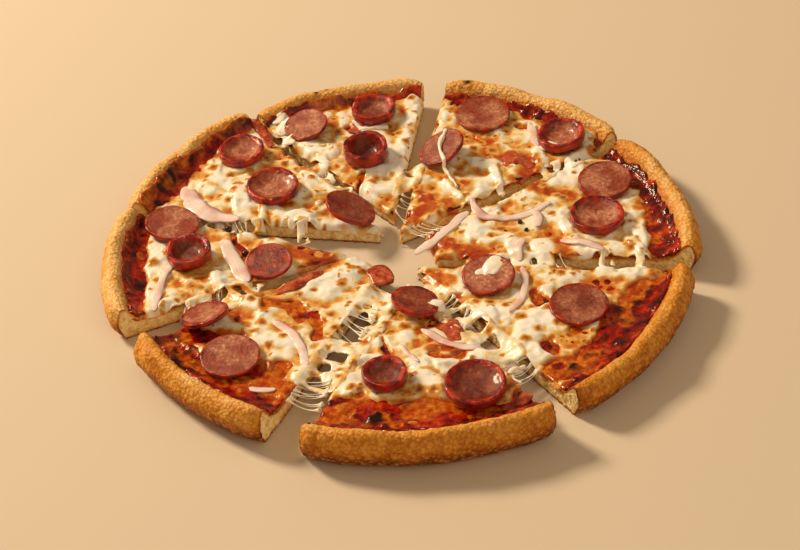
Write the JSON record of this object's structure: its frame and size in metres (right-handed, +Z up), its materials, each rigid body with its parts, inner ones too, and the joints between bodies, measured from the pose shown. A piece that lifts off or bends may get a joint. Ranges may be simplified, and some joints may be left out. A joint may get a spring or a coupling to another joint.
{
  "type": "pan pizza",
  "caption": "Round pan pizza cut into slices, with melted cheese, pepperoni, red onion and ham on a thick golden crust.",
  "frame": {"origin": "under the middle of the pizza, on the surface that it rests on, at the bottom centre of the bounding box", "axes": "+Z up, the toppings' side; -Y towards the slice with two pepperoni slices near its rim; +X to its right"},
  "size_m": [0.34, 0.3376, 0.0273],
  "materials": {
    "bread": "baked golden crust, matte, with fine blisters",
    "sauce": "baked tomato sauce, oily and glossy",
    "cheese": "melted cheese, cream with golden specks, satin",
    "pepperoni": "cured sausage, mottled face and dark glossy edge",
    "onion": "cooked red onion, pale pink with purple edges, glossy",
    "ham": "cooked ham and sausage, reddish brown, oily"
  },
  "bodies": {
    "root": {"crust_a": "bread", "sauce_a": "sauce", "cheese_a": "cheese", "crust_b": "bread", "sauce_b": "sauce", "cheese_b": "cheese", "crust_c": "bread", "sauce_c": "sauce", "cheese_c": "cheese", "crust_d": "bread", "sauce_d": "sauce", "cheese_d": "cheese", "crust_e": "bread", "sauce_e": "sauce", "cheese_e": "cheese", "crust_f": "bread", "sauce_f": "sauce", "cheese_f": "cheese", "crust_g": "bread", "sauce_g": "sauce", "cheese_g": "cheese", "crust_h": "bread", "sauce_h": "sauce", "cheese_h": "cheese", "pepperoni_01": "pepperoni", "pepperoni_02": "pepperoni", "pepperoni_03": "pepperoni", "pepperoni_04": "pepperoni", "pepperoni_05": "pepperoni", "pepperoni_06": "pepperoni", "pepperoni_07": "pepperoni", "pepperoni_08": "pepperoni", "pepperoni_09": "pepperoni", "pepperoni_10": "pepperoni", "pepperoni_11": "pepperoni", "pepperoni_12": "pepperoni", "pepperoni_13": "pepperoni", "pepperoni_14": "pepperoni", "pepperoni_15": "pepperoni", "pepperoni_16": "pepperoni", "pepperoni_17": "pepperoni", "pepperoni_18": "pepperoni", "pepperoni_19": "pepperoni", "pepperoni_20": "pepperoni", "pepperoni_21": "pepperoni", "onion_01": "onion", "onion_02": "onion", "onion_03": "onion", "onion_04": "onion", "onion_05": "onion", "onion_06": "onion", "onion_07": "onion", "onion_08": "onion", "onion_09": "onion", "onion_10": "onion", "onion_11": "onion", "ham_01": "ham", "ham_02": "ham", "ham_03": "ham", "ham_04": "ham"}
  },
  "joints": []
}
